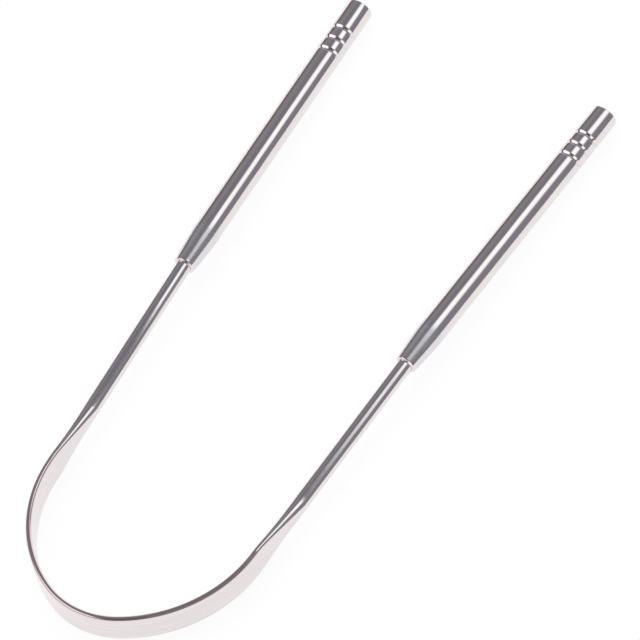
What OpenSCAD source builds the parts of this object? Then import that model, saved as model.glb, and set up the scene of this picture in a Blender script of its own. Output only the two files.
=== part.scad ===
// A U-shaped scraper for the tongue: one springy wire, pressed flat into a thin strip where it
// bends round, with a hollow tube handle swaged onto each end. It lies flat, scraping strip on edge.
// +X is to the user's right, +Y runs from the crown of the U to the ends of the handles, +Z is up.
// The origin is at the middle of the footprint, on the surface that the object lies on.

/* [Wire] */
// Diameter of the round wire
wire_d = 3.5; // [2.5:0.1:4]
// Angle that each arm leans outward from the middle plane
splay = 2.4; // [0:0.1:6]
// Angle that each arm rises from the curve of the strip to the mouth of its handle
arm_rise = 1.5; // [0:0.1:3]
// Length of round wire seen between the pressed part and the mouth of the handle
rod_len = 40; // [20:0.1:60]
// Length of wire hidden inside the handle
tail_len = 24; // [10:0.5:40]

/* [Scraping strip] */
// Width of the strip, which stands upright
strip_w = 7.7; // [5:0.1:10]
// Thickness of the strip
strip_t = 1.3; // [0.7:0.05:1.6]
// Angle that the top of the strip leans outward beside the arms; at the crown it stands upright
strip_lean = 1; // [0:0.5:4]
// Radius of the tight bend at the crown, to the middle of the strip
crown_r = 19.6; // [14:0.1:26]
// Half of the angle that the crown bend turns through
crown_angle = 26.7; // [10:0.1:40]
// Radius of the wider bend on each side of the crown
shoulder_r = 31.4; // [24:0.1:45]
// Straight stretch of strip after each bend
strip_run = 1; // [1:0.1:15]
// Length over which the strip turns back into round wire
blend_len = 16; // [8:0.5:30]

/* [Handles] */
// Outer diameter of the tube
handle_d = 6.0; // [5.4:0.1:8]
// Wall of the tube
handle_wall = 0.5; // [0.4:0.05:0.8]
// Length of the handle
handle_len = 76.4; // [55:0.1:100]
// Wall at the mouth, thickened where the tube is swaged onto the wire
mouth_wall = 0.6; // [0.5:0.01:0.7]
// Length of the taper from the mouth to the full diameter
taper_len = 9; // [6:0.5:20]
// Length of the swaged land that grips the wire
land_len = 4; // [2:0.5:6]
// Rounding of the rim at the mouth
rim_r = 0.4; // [0.1:0.05:0.45]
// Rounding of the edge at the far end
end_r = 0.3; // [0.1:0.05:0.35]

/* [Grip grooves] */
// Number of rolled grooves
groove_count = 3; // [1:1:6]
// Distance from one groove to the next
groove_pitch = 3.15; // [2.4:0.05:5]
// Distance from the far end of the handle to the nearest groove
groove_inset = 7.85; // [6:0.05:15]
// Depth of a groove
groove_depth = 0.4; // [0.2:0.05:0.5]
// Radius of the round bottom of a groove
groove_r = 0.6; // [0.5:0.05:0.9]

/* [End plugs] */
// Length of the plug in the far end of the tube
plug_len = 3; // [2:0.5:5]
// Bevel round the edge of the plug
plug_bevel = 0.15; // [0.05:0.05:0.3]

/* [Fits] */
// Gap between the wire and the swaged land, on the radius
wire_gap = 0.02; // [0.01:0.01:0.05]
// Gap between the plug and the bore, on the radius
plug_gap = 0.02; // [0.01:0.01:0.05]

/* [Hidden] */
steel = [0.80, 0.79, 0.80];
$fn = 96;

// Points round one section of the wire, and steps along each stretch of it
section_points = 24;
crown_steps = 9;
shoulder_steps = 20;
blend_steps = 14;
// How late along the blend the wire rounds out: 1 is evenly, and more is later
blend_power = 1.5;
// Points along the taper of the handle, and how strongly it flattens out towards the full diameter
taper_points = 8;
taper_power = 1.2;

handle_r = handle_d / 2;
bore_r = handle_r - handle_wall;
land_r = wire_d / 2 + wire_gap;
mouth_r = land_r + mouth_wall;
strip_mid_z = strip_w / 2;

// Plan of one half of the bow, from the crown at y = 0. A heading is the angle turned since the crown.
arm_heading = 90 - splay;
function on_bend(centre, r, heading) = centre + r * [sin(heading), -cos(heading)];
crown_end = on_bend([0, crown_r], crown_r, crown_angle);
shoulder_centre = crown_end - shoulder_r * [sin(crown_angle), -cos(crown_angle)];
arm_start = on_bend(shoulder_centre, shoulder_r, arm_heading);
arm_dir = [sin(splay), cos(splay)];

// Lengths in plan and heights along one arm
press_len = strip_run + blend_len;
reach = press_len + rod_len;
mouth_xy = arm_start + reach * arm_dir;
mouth_z = strip_mid_z + reach * tan(arm_rise);

// The handle slopes down until the edge of its far end rests level with the strip's lower edge
end_drop = mouth_z - end_r;
rest_run = handle_len - end_r;
rest_r = handle_r - end_r;
handle_dip = asin(end_drop / norm([rest_run, rest_r])) - atan(rest_r / rest_run);

// The origin lies halfway between the crown and the far edge of the handles
handle_dir_y = cos(handle_dip) * cos(splay);
far_y = mouth_xy[1] + rest_run * handle_dir_y + rest_r * sqrt(1 - handle_dir_y * handle_dir_y) + end_r;
shift_y = -(far_y - strip_t / 2) / 2;

// Width of the pressed wire where its thickness is t: round at one end, the strip at the other
spread = ln(strip_w / wire_d) / ln(wire_d / strip_t);
function width_at(t) = wire_d * pow(wire_d / t, spread);

// Stations along the right half of the wire: [place in plan, heading, height, thickness, lean].
// The pressed wire is fully round where its round share is 1.
function bend_station(centre, r, heading) =
    [on_bend(centre, r, heading), heading, strip_mid_z, strip_t, strip_lean * sin(heading)];
function arm_station(run, round_share) =
    [arm_start + run * arm_dir, arm_heading, strip_mid_z + run * tan(arm_rise),
     strip_t + (wire_d - strip_t) * round_share, strip_lean * sin(arm_heading) * (1 - round_share)];
tail_run = tail_len * cos(handle_dip);
tail_end = [mouth_xy + tail_run * arm_dir, arm_heading, mouth_z - tail_run * tan(handle_dip), wire_d, 0];
right_stations = concat(
    [for (i = [1 : crown_steps]) bend_station([0, crown_r], crown_r, crown_angle * i / crown_steps)],
    [for (i = [1 : shoulder_steps]) bend_station(shoulder_centre, shoulder_r,
        crown_angle + (arm_heading - crown_angle) * i / shoulder_steps)],
    [for (i = [0 : blend_steps])
        arm_station(strip_run + blend_len * i / blend_steps, pow(i / blend_steps, blend_power))],
    [arm_station(reach, 1), tail_end]);
function mirrored(s) = [[-s[0][0], s[0][1]], -s[1], s[2], s[3], s[4]];
last_station = len(right_stations) - 1;
left_stations = [for (i = [last_station : -1 : 0]) mirrored(right_stations[i])];
crown_station = bend_station([0, crown_r], crown_r, 0);

// Section of the wire at a station: flat sides and full round edges where it is pressed
function section(station) =
    let (place = station[0], heading = station[1], t = station[3], lean = station[4],
         half_flat = (width_at(t) - t) / 2)
    [for (i = [0 : section_points - 1])
        let (a = (i + 0.5) * 360 / section_points,
             across = t / 2 * cos(a),
             upward = (sin(a) > 0 ? half_flat : -half_flat) + t / 2 * sin(a),
             out = across * cos(lean) + upward * sin(lean),
             rise = upward * cos(lean) - across * sin(lean))
        [place[0] + out * sin(heading), place[1] - out * cos(heading), station[2] + rise]];

// Closed skin over a list of sections with the same number of points
module skin(sections) {
    n = len(sections[0]);
    last = len(sections) - 1;
    points = [for (s = sections) each s];
    first_cap = [[for (i = [n - 1 : -1 : 0]) i]];
    last_cap = [[for (i = [0 : n - 1]) last * n + i]];
    sides = [for (k = [0 : last - 1], i = [0 : n - 1])
        let (a = k * n + i, b = k * n + (i + 1) % n)
        each [[a, b, a + n], [b, b + n, a + n]]];
    polyhedron(points, concat(first_cap, sides, last_cap));
}

// Puts what is drawn along +Z, from the mouth, onto the axis of the right handle
module on_handle_axis() {
    translate([mouth_xy[0], mouth_xy[1], mouth_z])
        rotate([-handle_dip - 90, 0, -splay])
        children();
}

module centred() {
    translate([0, shift_y, 0]) children();
}

module left_side() {
    centred() mirror([1, 0, 0]) children();
}

// One wire from the end hidden in the left handle, round the U, to the end hidden in the right
module scraper_bow() {
    stations = concat(left_stations, [crown_station], right_stations);
    color(steel) centred() skin([for (s = stations) section(s)]);
}

// Outer radius of the handle at height h above the mouth, inside the taper
function taper_at(h) = handle_r - (handle_r - mouth_r) * pow(1 - h / taper_len, taper_power);

// Wall of the tube, radius against height above the mouth
module wall_section() {
    inner_taper_end = taper_len + land_len;
    taper = [for (i = [0 : taper_points])
        let (h = rim_r + (taper_len - rim_r) * i / taper_points) [taper_at(h), h]];
    rim_x = taper_at(rim_r) - rim_r;
    polygon(concat(
        [[land_r, 0], [rim_x, 0], [rim_x, rim_r]],
        taper,
        [[handle_r, handle_len - end_r], [handle_r - end_r, handle_len - end_r],
         [handle_r - end_r, handle_len], [bore_r, handle_len], [bore_r, inner_taper_end],
         [land_r, land_len]]));
    translate([rim_x, rim_r]) circle(r = rim_r);
    translate([handle_r - end_r, handle_len - end_r]) circle(r = end_r);
}

// The wall, with each groove rolled in from outside and pushed out on the inside
module grooved_section() {
    heights = [for (k = [0 : groove_count - 1]) handle_len - groove_inset - k * groove_pitch];
    groove_x = handle_r - groove_depth + groove_r;
    difference() {
        union() {
            wall_section();
            for (h = heights) translate([groove_x - handle_wall, h]) circle(r = groove_r);
        }
        for (h = heights) translate([groove_x, h]) circle(r = groove_r);
    }
}

module handle() {
    rotate_extrude() grooved_section();
}

module right_handle() {
    color(steel) centred() on_handle_axis() handle();
}

module left_handle() {
    color(steel) left_side() on_handle_axis() handle();
}

// A flush disc with a bevelled edge
module end_plug() {
    plug_r = bore_r - plug_gap;
    translate([0, 0, handle_len - plug_len]) {
        cylinder(h = plug_len - plug_bevel, r = plug_r);
        translate([0, 0, plug_len - plug_bevel])
            cylinder(h = plug_bevel, r1 = plug_r, r2 = plug_r - plug_bevel);
    }
}

module right_end_plug() {
    color(steel) centred() on_handle_axis() end_plug();
}

module left_end_plug() {
    color(steel) left_side() on_handle_axis() end_plug();
}

scraper_bow();
left_handle();
right_handle();
left_end_plug();
right_end_plug();
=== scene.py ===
from math import asin, atan, cos, hypot, log, pi, radians, sin, sqrt, tan

import bpy
from mathutils import Matrix, Vector


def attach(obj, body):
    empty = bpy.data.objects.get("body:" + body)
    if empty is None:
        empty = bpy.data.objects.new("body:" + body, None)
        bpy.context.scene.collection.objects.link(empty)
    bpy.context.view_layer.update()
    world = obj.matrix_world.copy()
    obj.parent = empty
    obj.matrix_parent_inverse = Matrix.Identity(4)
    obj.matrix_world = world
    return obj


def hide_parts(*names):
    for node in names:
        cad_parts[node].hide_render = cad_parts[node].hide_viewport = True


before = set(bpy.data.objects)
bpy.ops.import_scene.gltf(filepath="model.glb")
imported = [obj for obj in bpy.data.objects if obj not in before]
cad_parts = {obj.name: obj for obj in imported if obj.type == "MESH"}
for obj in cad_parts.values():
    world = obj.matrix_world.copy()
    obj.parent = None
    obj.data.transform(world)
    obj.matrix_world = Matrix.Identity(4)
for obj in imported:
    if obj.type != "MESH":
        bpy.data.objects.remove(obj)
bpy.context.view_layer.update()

# Metres in a millimetre. Sizes of the scraper are in millimetres, and those of the room in metres.
MM = 0.001

# Wire and strip. The wire is pressed flat round the bend, blends into round rod and ends in the handles.
WIRE_D = 3.5
STRIP_W = 7.7
STRIP_T = 1.3
STRIP_LEAN = radians(1.0)
CROWN_R = 19.6
CROWN_ANGLE = radians(26.7)
SHOULDER_R = 31.4
SPLAY = radians(2.4)
ARM_RISE = radians(1.5)
STRIP_RUN = 1.0
BLEND_LEN = 16.0
BLEND_POWER = 1.5
ROD_LEN = 40.0
TAIL_LEN = 24.0

# Handles. The land is the narrow bore that grips the wire.
HANDLE_D = 6.0
HANDLE_WALL = 0.5
HANDLE_LEN = 76.4
MOUTH_WALL = 0.6
TAPER_LEN = 9.0
TAPER_POWER = 1.2
LAND_LEN = 4.0
RIM_R = 0.4
END_R = 0.3
WIRE_GAP = 0.02

# Grooves near the far end of each handle. The inset is that of the last one.
GROOVE_COUNT = 3
GROOVE_PITCH = 3.15
GROOVE_INSET = 7.85
GROOVE_DEPTH = 0.4
GROOVE_SLOPE = radians(40)
GROOVE_R = 0.10
GROOVE_LIP_R = 0.20

# End plugs
PLUG_LEN = 3.0
PLUG_BEVEL = 0.15
PLUG_GAP = 0.02

# Steps along each stretch of the wire, and points round it
CROWN_STEPS = 20
SHOULDER_STEPS = 48
BLEND_STEPS = 60
ROD_STEPS = 24
SECTION_POINTS = 120

# Steps along the taper, the straight tube and each arc of an outline, and steps round what is turned
TAPER_STEPS = 24
STRAIGHT_STEPS = 20
ARC_STEPS = 10
TURN_STEPS = 128

# Edges bent by more than this stay sharp
SHARP_ANGLE = radians(35)

# What follows from the sizes
HANDLE_R = HANDLE_D / 2
BORE_R = HANDLE_R - HANDLE_WALL
LAND_R = WIRE_D / 2 + WIRE_GAP
MOUTH_R = LAND_R + MOUTH_WALL
STRIP_MID_Z = STRIP_W / 2
ARM_HEADING = pi / 2 - SPLAY
SHOULDER_ANGLE = ARM_HEADING - CROWN_ANGLE
HALF_BEND_LEN = CROWN_R * CROWN_ANGLE + SHOULDER_R * SHOULDER_ANGLE
REACH = STRIP_RUN + BLEND_LEN + ROD_LEN


def on_bend(centre, r, heading):
    """Point in plan on a bend, where the heading is the angle turned since the crown."""
    return centre + r * Vector((sin(heading), -cos(heading)))


CROWN_CENTRE = Vector((0, CROWN_R))
SHOULDER_CENTRE = on_bend(CROWN_CENTRE, CROWN_R - SHOULDER_R, CROWN_ANGLE)
ARM_START = on_bend(SHOULDER_CENTRE, SHOULDER_R, ARM_HEADING)
ARM_DIR = Vector((sin(SPLAY), cos(SPLAY)))
MOUTH_XY = ARM_START + REACH * ARM_DIR
MOUTH_Z = STRIP_MID_Z + REACH * tan(ARM_RISE)


def handle_dip():
    """Angle at which the handle slopes down until the edge of its far end rests on the floor."""
    rest_run = HANDLE_LEN - END_R
    rest_r = HANDLE_R - END_R
    return asin((MOUTH_Z - END_R) / hypot(rest_run, rest_r)) - atan(rest_r / rest_run)


HANDLE_DIP = handle_dip()


def length_shift():
    """How far the scraper moves along Y so that the origin is at the middle of its footprint."""
    dir_y = cos(HANDLE_DIP) * cos(SPLAY)
    far_y = MOUTH_XY.y + (HANDLE_LEN - END_R) * dir_y + (HANDLE_R - END_R) * sqrt(1 - dir_y ** 2) + END_R
    return (STRIP_T / 2 - far_y) / 2


SHIFT = Vector((0, length_shift(), 0))


def add_object(name, points, faces, material):
    """A mesh object in the scene, from points in metres."""
    mesh = bpy.data.meshes.new(name)
    mesh.from_pydata(points, [], faces)
    mesh.materials.append(material)
    thing = bpy.data.objects.new(name, mesh)
    bpy.context.collection.objects.link(thing)
    return thing


def set_vectors(thing, name, vectors):
    """Give each point of an object a vector, which the material reads by its name."""
    attribute = thing.data.attributes.new(name, "FLOAT_VECTOR", "POINT")
    attribute.data.foreach_set("vector", [number for vector in vectors for number in vector])


def steel_piece(name, points, faces, drawn, material):
    """A smooth piece of the scraper from points in millimetres, with the drawn coordinates of each."""
    piece = add_object(name, [(Vector(point) + SHIFT) * MM for point in points], faces, material)
    set_vectors(piece, "drawn", drawn)
    piece.data.shade_smooth()
    piece.data.set_sharp_from_angle(angle=SHARP_ANGLE)
    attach(piece, "root")
    return piece


def width_at(t):
    """Width of the pressed wire where its thickness is t."""
    return WIRE_D * (WIRE_D / t) ** (log(STRIP_W / WIRE_D) / log(WIRE_D / STRIP_T))


def lean_at(heading):
    """How far the top of the strip leans outward. It stands upright at the crown."""
    return STRIP_LEAN * sin(abs(heading))


def wire_section(t):
    """Outline of the pressed wire as (out, up): flat sides and full round edges."""
    half_flat = (width_at(t) - t) / 2
    outline = []
    for i in range(SECTION_POINTS):
        a = (i + 0.5) * 2 * pi / SECTION_POINTS
        lift = half_flat if sin(a) > 0 else -half_flat
        outline.append((t / 2 * cos(a), lift + t / 2 * sin(a)))
    return outline


def right_stations():
    """Stations along the right half of the wire: distance, place, heading, height, thickness, lean."""
    stations = []
    for i in range(CROWN_STEPS + 1):
        heading = CROWN_ANGLE * i / CROWN_STEPS
        place = on_bend(CROWN_CENTRE, CROWN_R, heading)
        stations.append((CROWN_R * heading, place, heading, STRIP_MID_Z, STRIP_T, lean_at(heading)))
    for i in range(1, SHOULDER_STEPS + 1):
        shoulder_turn = SHOULDER_ANGLE * i / SHOULDER_STEPS
        run = CROWN_R * CROWN_ANGLE + SHOULDER_R * shoulder_turn
        heading = CROWN_ANGLE + shoulder_turn
        place = on_bend(SHOULDER_CENTRE, SHOULDER_R, heading)
        stations.append((run, place, heading, STRIP_MID_Z, STRIP_T, lean_at(heading)))
    arm = [(STRIP_RUN + BLEND_LEN * i / BLEND_STEPS, (i / BLEND_STEPS) ** BLEND_POWER)
           for i in range(BLEND_STEPS + 1)]
    arm += [(STRIP_RUN + BLEND_LEN + ROD_LEN * i / ROD_STEPS, 1) for i in range(1, ROD_STEPS + 1)]
    for along, round_share in arm:
        t = STRIP_T + (WIRE_D - STRIP_T) * round_share
        height = STRIP_MID_Z + along * tan(ARM_RISE)
        lean = lean_at(ARM_HEADING) * (1 - round_share)
        stations.append((HALF_BEND_LEN + along, ARM_START + along * ARM_DIR, ARM_HEADING, height, t, lean))
    tail = TAIL_LEN * cos(HANDLE_DIP)
    tail_end = MOUTH_XY + tail * ARM_DIR
    height = MOUTH_Z - tail * tan(HANDLE_DIP)
    stations.append((HALF_BEND_LEN + REACH + tail, tail_end, ARM_HEADING, height, WIRE_D, 0))
    return stations


def both_halves(right):
    """The whole row of stations, from the left tail round the crown to the right tail."""
    left = [(-run, Vector((-place.x, place.y)), -heading, z, t, lean)
            for run, place, heading, z, t, lean in right[1:]]
    return left[::-1] + right


def bow_wire(material):
    """The whole wire as one skin, closed at the end of each tail."""
    points, drawn, faces = [], [], []
    stations = both_halves(right_stations())
    for run, place, heading, z, t, lean in stations:
        for out, up in wire_section(t):
            tilted = out * cos(lean) + up * sin(lean)
            lifted = up * cos(lean) - out * sin(lean)
            points.append((place.x + tilted * sin(heading), place.y - tilted * cos(heading), z + lifted))
            drawn.append((run, out, up))
    n = SECTION_POINTS
    for k in range(len(stations) - 1):
        for i in range(n):
            a, b = k * n + i, k * n + (i + 1) % n
            faces.append((a, b, b + n, a + n))
    faces.append(tuple(range(n - 1, -1, -1)))
    faces.append(tuple(range(len(points) - n, len(points))))
    return steel_piece("bow_wire", points, faces, drawn, material)


def arc(centre_r, centre_h, r, start, end):
    """Points (radius, height) on an arc, with angles measured from outward towards the far end."""
    angles = [start + (end - start) * i / ARC_STEPS for i in range(ARC_STEPS + 1)]
    return [(centre_r + r * cos(a), centre_h + r * sin(a)) for a in angles]


def taper_at(h):
    """Radius of the taper at a height above the mouth."""
    return HANDLE_R - (HANDLE_R - MOUTH_R) * (1 - h / TAPER_LEN) ** TAPER_POWER


def groove(h):
    """Outline of a rolled groove: two sloping walls between rounded lips and a narrow round bottom."""
    lip_r = HANDLE_R - GROOVE_LIP_R
    bottom_r = HANDLE_R - GROOVE_DEPTH + GROOVE_R
    bends = GROOVE_R + GROOVE_LIP_R
    wall = (GROOVE_DEPTH - bends * (1 - cos(GROOVE_SLOPE))) / tan(GROOVE_SLOPE)
    half = bends * sin(GROOVE_SLOPE) + wall
    return (arc(lip_r, h - half, GROOVE_LIP_R, 0, GROOVE_SLOPE)
            + arc(bottom_r, h, GROOVE_R, pi + GROOVE_SLOPE, pi - GROOVE_SLOPE)
            + arc(lip_r, h + half, GROOVE_LIP_R, -GROOVE_SLOPE, 0))


def tube_outline():
    """Wall of the handle as a closed outline of (radius, height above the mouth)."""
    outline = [(LAND_R, 0)]
    outline += arc(taper_at(RIM_R) - RIM_R, RIM_R, RIM_R, -pi / 2, 0)
    for i in range(1, TAPER_STEPS + 1):
        h = RIM_R + (TAPER_LEN - RIM_R) * i / TAPER_STEPS
        outline.append((taper_at(h), h))
    first_groove = HANDLE_LEN - GROOVE_INSET - (GROOVE_COUNT - 1) * GROOVE_PITCH
    straight_end = first_groove - GROOVE_PITCH / 2
    for i in range(1, STRAIGHT_STEPS + 1):
        outline.append((HANDLE_R, TAPER_LEN + (straight_end - TAPER_LEN) * i / STRAIGHT_STEPS))
    for k in range(GROOVE_COUNT):
        outline += groove(first_groove + k * GROOVE_PITCH)
    outline.append((HANDLE_R, HANDLE_LEN - GROOVE_INSET / 2))
    outline += arc(HANDLE_R - END_R, HANDLE_LEN - END_R, END_R, 0, pi / 2)
    outline += [(BORE_R, HANDLE_LEN), (BORE_R, TAPER_LEN + LAND_LEN), (LAND_R, LAND_LEN)]
    return outline


def plug_outline():
    """Half section of the end plug, from the middle of its inner face to the middle of its outer face."""
    plug_r = BORE_R - PLUG_GAP
    return [(0, HANDLE_LEN - PLUG_LEN), (plug_r, HANDLE_LEN - PLUG_LEN),
            (plug_r, HANDLE_LEN - PLUG_BEVEL), (plug_r - PLUG_BEVEL, HANDLE_LEN), (0, HANDLE_LEN)]


def handle_frame(side):
    """Matrix that puts what is turned about +Z, from the mouth, onto the axis of a handle."""
    place = Vector((side * MOUTH_XY.x, MOUTH_XY.y, MOUTH_Z))
    return (Matrix.Translation(place) @ Matrix.Rotation(-side * SPLAY, 4, "Z")
            @ Matrix.Rotation(-HANDLE_DIP - pi / 2, 4, "X"))


def turned(name, outline, side, material):
    """A solid of revolution on the axis of a handle. Points at radius zero become one pole."""
    points, drawn, faces, rows = [], [], [], []
    place = handle_frame(side)
    for r, h in outline:
        steps = TURN_STEPS if r > 0 else 1
        rows.append([len(points) + i for i in range(steps)])
        for i in range(steps):
            a = 2 * pi * i / TURN_STEPS
            points.append(place @ Vector((r * cos(a), r * sin(a), h)))
            drawn.append((h, r * cos(a), r * sin(a)))
    closed = outline[0][0] > 0
    next_rows = rows[1:] + rows[:1] if closed else rows[1:]
    for low, high in zip(rows, next_rows):
        for i in range(TURN_STEPS):
            j = (i + 1) % TURN_STEPS
            if len(low) == 1:
                faces.append((low[0], high[j], high[i]))
            elif len(high) == 1:
                faces.append((low[i], low[j], high[0]))
            else:
                faces.append((low[i], low[j], high[j], high[i]))
    piece = steel_piece(name, points, faces, drawn, material)
    axis = place.to_3x3() @ Vector((0, 0, 1))
    set_vectors(piece, "axis", [axis] * len(points))
    return piece


class Nodes:
    """Short calls for building the node tree of a material or world."""

    def __init__(self, owner):
        owner.use_nodes = True
        self.tree = owner.node_tree
        self.tree.nodes.clear()

    def add(self, kind, inputs=None, **settings):
        node = self.tree.nodes.new(kind)
        for name, value in settings.items():
            setattr(node, name, value)
        for name, value in (inputs or {}).items():
            self.put(node.inputs[name], value)
        return node

    def put(self, socket, value):
        if isinstance(value, bpy.types.NodeSocket):
            self.tree.links.new(value, socket)
        else:
            socket.default_value = value

    def attribute(self, name):
        return self.add("ShaderNodeAttribute", attribute_name=name).outputs["Vector"]

    def axis(self, vector, letter):
        return self.add("ShaderNodeSeparateXYZ", {"Vector": vector}).outputs[letter]

    def math(self, operation, *values):
        return self.add("ShaderNodeMath", dict(enumerate(values)), operation=operation).outputs[0]

    def remap(self, value, low, high, to_low=0.0, to_high=1.0, kind="LINEAR"):
        node = self.add("ShaderNodeMapRange", {"Value": value, "From Min": low, "From Max": high,
                                               "To Min": to_low, "To Max": to_high},
                        interpolation_type=kind)
        return node.outputs["Result"]

    def fade(self, value, none_at, all_at):
        """0 where the value hasn't reached the first number, 1 past the second, and smooth between."""
        return self.remap(value, none_at, all_at, kind="SMOOTHSTEP")

    def noise(self, vector, lumps, detail, roughness):
        """Noise with its own number of lumps in a millimetre along, across and up the wire."""
        scaled = self.add("ShaderNodeVectorMath", {0: vector, 1: lumps}, operation="MULTIPLY")
        node = self.add("ShaderNodeTexNoise", {"Vector": scaled.outputs[0], "Scale": 1.0,
                                               "Detail": detail, "Roughness": roughness})
        return node.outputs["Fac"]

    def bump(self, height, depth, normal=None):
        """Normal of a surface with a height, of which 1 is this depth in millimetres."""
        node = self.add("ShaderNodeBump", {"Strength": 1.0, "Distance": depth * MM, "Height": height})
        if normal is not None:
            self.put(node.inputs["Normal"], normal)
        return node.outputs["Normal"]

    def mix(self, factor, a, b):
        node = self.add("ShaderNodeMix", data_type="RGBA")
        for name, value in (("Factor", factor), ("A", a), ("B", b)):
            self.put(node.inputs[name], value)
        return node.outputs["Result"]

    def glow(self, color, strength):
        return self.add("ShaderNodeEmission", {"Color": color, "Strength": strength}).outputs["Emission"]

    def clear(self):
        return self.add("ShaderNodeBsdfTransparent").outputs["BSDF"]

    def blend(self, factor, a, b):
        return self.add("ShaderNodeMixShader", {0: factor, 1: a, 2: b}).outputs["Shader"]

    def end(self, shader, kind="ShaderNodeOutputMaterial"):
        self.add(kind, {"Surface": shader})


def new_material(name):
    material = bpy.data.materials.new(name)
    return material, Nodes(material)


# Marks on the steel, each as (lumps in a millimetre along, across and up the wire), detail, roughness
LINES = ((0.25, 9.0, 9.0), 4.0, 0.6)
STREAKS = ((0.07, 2.4, 2.4), 3.0, 0.55)
HAZE = ((0.12, 0.5, 0.5), 2.0, 0.5)
SPECKLE = ((6.0, 14.0, 14.0), 2.0, 0.5)
WAVES = ((0.10, 0.35, 0.35), 1.0, 0.5)

# The stretch of each noise over which its mark goes from none to full
STREAK_RANGE = (0.3, 0.7)
HAZE_RANGE = (0.35, 0.65)
SPECKLE_RANGE = (0.4, 0.7)

# How the marks show
STREAK_DARK = (0.775, 0.75, 0.765, 1)
STREAK_PALE = (0.85, 0.82, 0.835, 1)
STREAK_HEIGHT = 2.0
SPECKLE_HEIGHT = 0.25
SPECKLE_ROUGHNESS = 0.03
WAVE_DEPTH = 0.03
SATIN_ROUGHNESS = 0.12
SATIN_TONE = (0.765, 0.76, 0.79, 1)
# Painted brown reflection on the strip's round edges
PAINTED_EDGE_REFLECTION_TONE = (0.76, 0.67, 0.67, 1)

# Finish of each piece: depth of its grain in millimetres, least and greatest roughness of its haze
WIRE_FINISH = (0.0006, 0.08, 0.16)
TUBE_FINISH = (0.0004, 0.06, 0.12)
PLUG_FINISH = (0.0008, 0.16, 0.26)

# The left rod isn't quite straight between these distances from the start of its arm. The rise is that
# of a very shallow bump, which turns the reflections and leaves the mesh as it is.
BEND_START = 8.0
BEND_END = 50.0
BEND_RISE = -2.3

# The strip's round edges carry a painted brown reflection, from a little before its flat side ends to a
# little past that
EDGE_BEFORE = 0.1
EDGE_PAST = 0.2


def polished_steel(name, finish, satin=None, bend=None, edge=None):
    """Polished steel with lengthwise drawing lines, faint hazes and fine speckle. Lengths in millimetres.

    satin is (from, full from, full to, to): the stretch along the piece that was brushed round.
    bend is (from, to, rise): a stretch along the piece that is not quite straight.
    edge is (from, to): how far above and below the strip's middle the painted brown reflection on its
    round edges comes in.
    """
    grain_depth, least_rough, most_rough = finish
    material, nodes = new_material(name)
    drawn = nodes.attribute("drawn")
    lines, streaks, haze, speckle, waves = [nodes.noise(drawn, *mark)
                                            for mark in (LINES, STREAKS, HAZE, SPECKLE, WAVES)]

    tone = nodes.mix(nodes.remap(streaks, *STREAK_RANGE), STREAK_DARK, STREAK_PALE)
    rough = nodes.math("ADD", nodes.remap(haze, *HAZE_RANGE, least_rough, most_rough),
                       nodes.remap(speckle, *SPECKLE_RANGE, 0.0, SPECKLE_ROUGHNESS))
    if satin:
        along = nodes.axis(drawn, "X")
        brushed = nodes.math("MULTIPLY", nodes.fade(along, satin[0], satin[1]),
                             nodes.fade(along, satin[3], satin[2]))
        rough = nodes.math("ADD", rough, nodes.math("MULTIPLY", brushed, SATIN_ROUGHNESS))
        tone = nodes.mix(brushed, tone, SATIN_TONE)
    # Painted brown reflection: the strip's round edges get a browner tone
    if edge:
        from_middle = nodes.math("ABSOLUTE", nodes.axis(drawn, "Z"))
        tone = nodes.mix(nodes.fade(from_middle, *edge), tone, PAINTED_EDGE_REFLECTION_TONE)

    height = nodes.math("ADD", lines, nodes.math("MULTIPLY", speckle, SPECKLE_HEIGHT))
    height = nodes.math("ADD", height, nodes.math("MULTIPLY", streaks, STREAK_HEIGHT))
    normal = nodes.bump(waves, WAVE_DEPTH, nodes.bump(height, grain_depth))
    if bend:
        start, end, rise = bend
        rising = nodes.remap(nodes.axis(drawn, "X"), start, end, 0.0, rise, kind="SMOOTHSTEP")
        normal = nodes.bump(rising, 1.0, normal)

    surface = nodes.add("ShaderNodeBsdfPrincipled", {"Base Color": tone, "Metallic": 1.0,
                                                     "Roughness": rough, "Normal": normal})
    if satin:
        nodes.put(surface.inputs["Anisotropic"], brushed)
        nodes.put(surface.inputs["Tangent"], nodes.attribute("axis"))
    nodes.end(surface.outputs["BSDF"])
    return material


def scraper():
    """The wire, and a tube and a plug on each arm."""
    left_arm = -HALF_BEND_LEN
    half_flat = (STRIP_W - STRIP_T) / 2
    wire_steel = polished_steel("drawn_wire_steel", WIRE_FINISH,
                                bend=(left_arm - BEND_START, left_arm - BEND_END, BEND_RISE),
                                edge=(half_flat - EDGE_BEFORE, half_flat + EDGE_PAST))
    tube_steel = polished_steel("polished_tube_steel", TUBE_FINISH,
                                satin=(RIM_R, 2 * RIM_R, TAPER_LEN, TAPER_LEN + LAND_LEN))
    plug_steel = polished_steel("turned_plug_steel", PLUG_FINISH)
    wire = bow_wire(wire_steel)
    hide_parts("scraper_bow")
    for word, side in (("left", -1), ("right", 1)):
        tube = turned(word + "_tube", tube_outline(), side, tube_steel)
        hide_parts(word + "_handle")
        plug = turned(word + "_plug", plug_outline(), side, plug_steel)
        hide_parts(word + "_end_plug")


# The floor is a sheet of white paper, given by two of its corners in plan
PAPER_LOW = (-0.16, -0.16)
PAPER_HIGH = (0.09, 0.16)

# White as the camera sees it, as the steel reflects the paper, and as light falls on the paper, and the
# share of the paper that takes shadow
CAMERA_WHITE = (1.0, 1.0, 1.0, 1)
REFLECTED_WHITE = (1.0, 0.965, 0.96, 1)
PAPER_WHITE = (0.95, 0.94, 0.94, 1)
SHADOW_SHARE = 0.05


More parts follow.
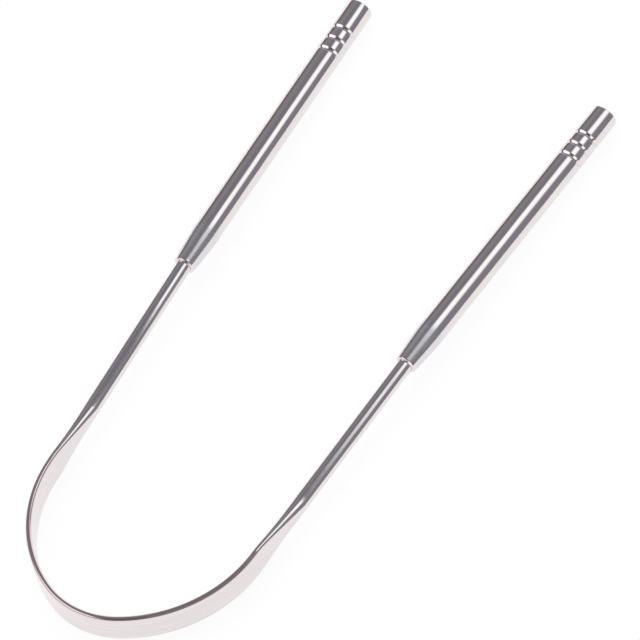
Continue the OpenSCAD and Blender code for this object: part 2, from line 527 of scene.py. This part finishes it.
def paper_material():
    """White paper: mostly plain white to the camera, with a share that takes the object's shadow."""
    material, nodes = new_material("floor_paper")
    rays = nodes.add("ShaderNodeLightPath").outputs
    seen = nodes.math("MAXIMUM", rays["Is Camera Ray"], rays["Is Glossy Ray"])
    seen = nodes.math("MAXIMUM", seen, rays["Is Transmission Ray"])
    white = nodes.glow(nodes.mix(rays["Is Camera Ray"], REFLECTED_WHITE, CAMERA_WHITE), 1.0)
    paper = nodes.add("ShaderNodeBsdfDiffuse", {"Color": PAPER_WHITE}).outputs["BSDF"]
    nodes.end(nodes.blend(nodes.math("MULTIPLY", seen, 1 - SHADOW_SHARE), paper, white))
    return material


def floor():
    """The paper that the scraper lies on."""
    (left, near), (right, far) = PAPER_LOW, PAPER_HIGH
    corners = [(left, near, 0), (right, near, 0), (right, far, 0), (left, far, 0)]
    add_object("floor", corners, [(0, 1, 2, 3)], paper_material())


# The lamp hangs level, with its corners given in plan: near left, near right, far right, far left.
# Its fades are shares of its width and length.
LAMP_HEIGHT = 0.42
LAMP_CORNERS = ((-0.015, 0.105), (0.480, 0.155), (0.480, 0.480), (-0.015, 0.480))
LAMP_LEFT_FADE_SHARE = 0.26
LAMP_RIGHT_FADE_SHARE = 0.43
LAMP_NEAR_FADE_SHARE = 0.085
LAMP_FAR_FADE_SHARE = 0.10
LAMP_STEPS = 12
LAMP_STRENGTH = 1.2
LAMP_COLOR = (1.0, 1.0, 1.0, 1)


def lamp_material():
    """A lamp face that fades out at its edges, by its own across and along coordinates from 0 to 1."""
    material, nodes = new_material("strip_lamp_face")
    face = nodes.attribute("face")
    across, along = nodes.axis(face, "X"), nodes.axis(face, "Y")
    lit_across = nodes.math("MULTIPLY", nodes.fade(across, 0.0, LAMP_LEFT_FADE_SHARE),
                            nodes.fade(across, 1.0, 1.0 - LAMP_RIGHT_FADE_SHARE))
    lit_along = nodes.math("MULTIPLY", nodes.fade(along, 0.0, LAMP_NEAR_FADE_SHARE),
                           nodes.fade(along, 1.0, 1.0 - LAMP_FAR_FADE_SHARE))
    lit = nodes.math("MULTIPLY", lit_across, lit_along)
    nodes.end(nodes.blend(lit, nodes.clear(), nodes.glow(LAMP_COLOR, LAMP_STRENGTH)))
    return material


def strip_lamp():
    """The large lamp above and beyond the ends of the handles, as a grid. The camera doesn't see it."""
    near_left, near_right, far_right, far_left = [Vector(corner) for corner in LAMP_CORNERS]
    row = LAMP_STEPS + 1
    points, face, quads = [], [], []
    for i in range(row):
        for j in range(row):
            across, along = i / LAMP_STEPS, j / LAMP_STEPS
            place = near_left.lerp(near_right, across).lerp(far_left.lerp(far_right, across), along)
            points.append((place.x, place.y, LAMP_HEIGHT))
            face.append((across, along, 0))
    for i in range(LAMP_STEPS):
        for j in range(LAMP_STEPS):
            a = i * row + j
            quads.append((a, a + 1, a + row + 1, a + row))
    lamp = add_object("strip_lamp", points, quads, lamp_material())
    set_vectors(lamp, "face", face)
    lamp.visible_camera = False


# The card stands across the line of the arms, with its corners given by x and z
CARD_LOW = (0.036, 0.0)
CARD_HIGH = (0.140, 0.080)
CARD_Y = -0.045
CARD_COLOR = (1.0, 0.98, 0.99, 1)


def handle_card():
    """A small card beside the right arm, for reflections only. Just its face towards the handles shows."""
    material, nodes = new_material("handle_card_face")
    from_behind = nodes.add("ShaderNodeNewGeometry").outputs["Backfacing"]
    nodes.end(nodes.blend(from_behind, nodes.glow(CARD_COLOR, LAMP_STRENGTH), nodes.clear()))
    (left, foot), (right, top) = CARD_LOW, CARD_HIGH
    corners = [(right, CARD_Y, foot), (left, CARD_Y, foot), (left, CARD_Y, top), (right, CARD_Y, top)]
    card = add_object("handle_card", corners, [(0, 1, 2, 3)], material)
    card.visible_camera = False
    card.visible_diffuse = False
    card.visible_shadow = False


# Colours of the room in reflections, by the height of the direction: -1 is straight down, 1 straight up
ROOM_TONES = ((-1.0, (0.150, 0.128, 0.130, 1)), (0.0, (0.150, 0.128, 0.130, 1)),
              (0.15, (0.160, 0.136, 0.139, 1)), (0.36, (0.235, 0.213, 0.221, 1)),
              (0.57, (0.272, 0.252, 0.270, 1)), (0.72, (0.250, 0.243, 0.265, 1)),
              (0.83, (0.207, 0.203, 0.226, 1)), (1.0, (0.190, 0.188, 0.210, 1)))

# Boards that stand in the room, as (heading from, heading to, rise from, rise to) in degrees, and colour.
# A heading is measured from straight ahead of the crown, -Y, towards +X.
BOARD_WHITE = (1.3, 1.27, 1.27, 1)
BOARD_GREY = (0.245, 0.232, 0.262, 1)
BOARD_DARK = (0.15, 0.125, 0.13, 1)
BOARDS = (((-75, -4, 14, 49), BOARD_WHITE), ((158, 222, -10, 26), BOARD_WHITE),
          ((104, 150, -10, 30), BOARD_GREY), ((-14, 30, 30, 75), BOARD_DARK))
BOARD_SOFTNESS = radians(7)
BOARD_FOOT_SOFTNESS = radians(4)


def room_tone(nodes, height):
    """Colour of the bare walls and ceiling at a height of direction from -1 to 1."""
    ramp = nodes.add("ShaderNodeValToRGB", {"Fac": nodes.remap(height, -1.0, 1.0)})
    elements = ramp.color_ramp.elements
    for element, (z, color) in zip(elements, (ROOM_TONES[0], ROOM_TONES[-1])):
        element.position = (z + 1) / 2
        element.color = color
    for z, color in ROOM_TONES[1:-1]:
        elements.new((z + 1) / 2).color = color
    return ramp.outputs["Color"]


def board_mask(nodes, heading, rise, board):
    """1 where a direction in the room meets a board."""
    start, end, foot, top = [radians(value) for value in board]
    middle, half = (start + end) / 2, (end - start) / 2
    offset = nodes.math("WRAP", nodes.math("SUBTRACT", heading, middle), pi, -pi)
    beside = nodes.fade(nodes.math("ABSOLUTE", offset), half + BOARD_SOFTNESS, half - BOARD_SOFTNESS)
    below = nodes.fade(rise, top + BOARD_SOFTNESS, top - BOARD_SOFTNESS)
    above = nodes.fade(rise, foot - BOARD_FOOT_SOFTNESS, foot + BOARD_FOOT_SOFTNESS)
    return nodes.math("MULTIPLY", beside, nodes.math("MULTIPLY", below, above))


def grey_room():
    """White to the camera. Reflections show dark walls and a grey ceiling, with boards before them."""
    world = bpy.data.worlds.new("grey_room")
    bpy.context.scene.world = world
    nodes = Nodes(world)
    way = nodes.add("ShaderNodeTexCoord").outputs["Generated"]
    x, y, z = [nodes.axis(way, letter) for letter in "XYZ"]
    heading = nodes.math("ARCTAN2", x, nodes.math("MULTIPLY", y, -1.0))
    rise = nodes.math("ARCSINE", z)
    reflected = room_tone(nodes, z)
    for board, color in BOARDS:
        reflected = nodes.mix(board_mask(nodes, heading, rise, board), reflected, color)
    camera_ray = nodes.add("ShaderNodeLightPath").outputs["Is Camera Ray"]
    color = nodes.mix(camera_ray, reflected, CAMERA_WHITE)
    room = nodes.add("ShaderNodeBackground", {"Color": color, "Strength": 1.0})
    nodes.end(room.outputs["Background"], kind="ShaderNodeOutputWorld")


SUN_STRENGTH = 3.1
SUN_SPREAD = radians(60)
SUN_TURN = (radians(-20), radians(-25), 0)


def soft_sun():
    """Lights the floor from high above the left handle's end, so that the scraper keeps a soft shadow."""
    data = bpy.data.lights.new("soft_sun", "SUN")
    data.energy = SUN_STRENGTH
    data.angle = SUN_SPREAD
    lamp = bpy.data.objects.new("soft_sun", data)
    lamp.rotation_euler = SUN_TURN
    lamp.visible_glossy = False
    bpy.context.collection.objects.link(lamp)


# The camera looks at a point on the middle height of the strip, from far away through a long lens
CAMERA_TARGET = Vector((4.972, 7.323, STRIP_MID_Z)) * MM
CAMERA_DISTANCE = 2.791
CAMERA_AZIMUTH = radians(44.287)
CAMERA_ELEVATION = radians(54.806)
CAMERA_ROLL = radians(-14.418)
CAMERA_LENS = 731.25
CAMERA_SENSOR = 36
CAMERA_NEAREST = 0.01
CAMERA_FARTHEST = 20


def camera():
    """The photograph's view."""
    data = bpy.data.cameras.new("camera")
    data.sensor_width = CAMERA_SENSOR
    data.lens = CAMERA_LENS
    data.clip_start = CAMERA_NEAREST
    data.clip_end = CAMERA_FARTHEST
    eye = bpy.data.objects.new("camera", data)
    flat = cos(CAMERA_ELEVATION)
    back = Vector((sin(CAMERA_AZIMUTH) * flat, -cos(CAMERA_AZIMUTH) * flat, sin(CAMERA_ELEVATION)))
    place = CAMERA_TARGET + CAMERA_DISTANCE * back
    facing = (-back).to_track_quat("-Z", "Y").to_matrix().to_4x4()
    eye.matrix_world = Matrix.Translation(place) @ facing @ Matrix.Rotation(CAMERA_ROLL, 4, "Z")
    bpy.context.collection.objects.link(eye)
    bpy.context.scene.camera = eye


scraper()
floor()
strip_lamp()
handle_card()
grey_room()
soft_sun()
camera()
bpy.context.scene.view_settings.view_transform = "Standard"
